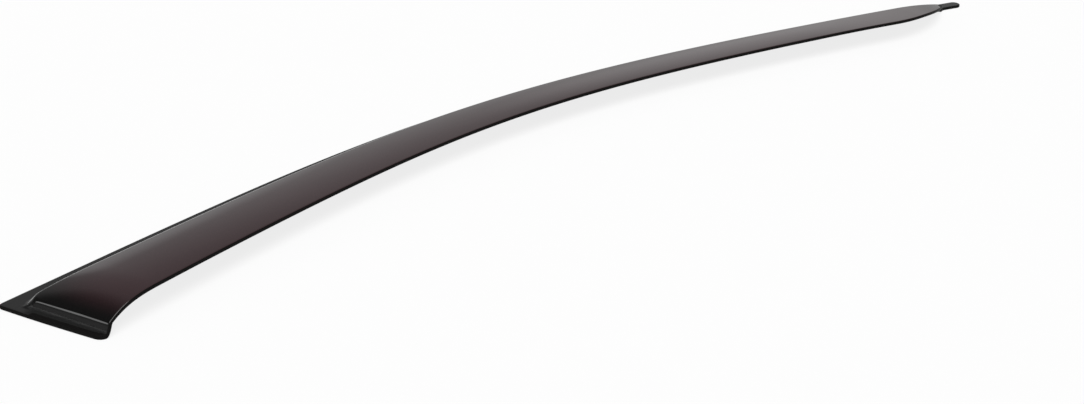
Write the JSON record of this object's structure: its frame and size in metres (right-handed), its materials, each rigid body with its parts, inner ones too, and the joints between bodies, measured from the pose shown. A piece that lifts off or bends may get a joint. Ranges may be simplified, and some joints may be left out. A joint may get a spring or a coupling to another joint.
{
  "type": "window rain deflector",
  "caption": "Long curved stick-on rain deflector for a car side window: flat sticking flange along the upper edge, crowned smoked acrylic visor, closed-down wide end and bare tongue at the tip.",
  "frame": {"origin": "middle of the bounding box in plan, on the plane of the flange's underside", "axes": "+X along the deflector from the wide end to the tip, +Z away from the door, and the free edge of the visor towards -Y"},
  "size_m": [0.986, 0.1619, 0.0204],
  "materials": {
    "smoked_acrylic": "smoked, glossy, slightly see-through"
  },
  "bodies": {
    "root": {"deflector": "smoked_acrylic"}
  },
  "joints": []
}
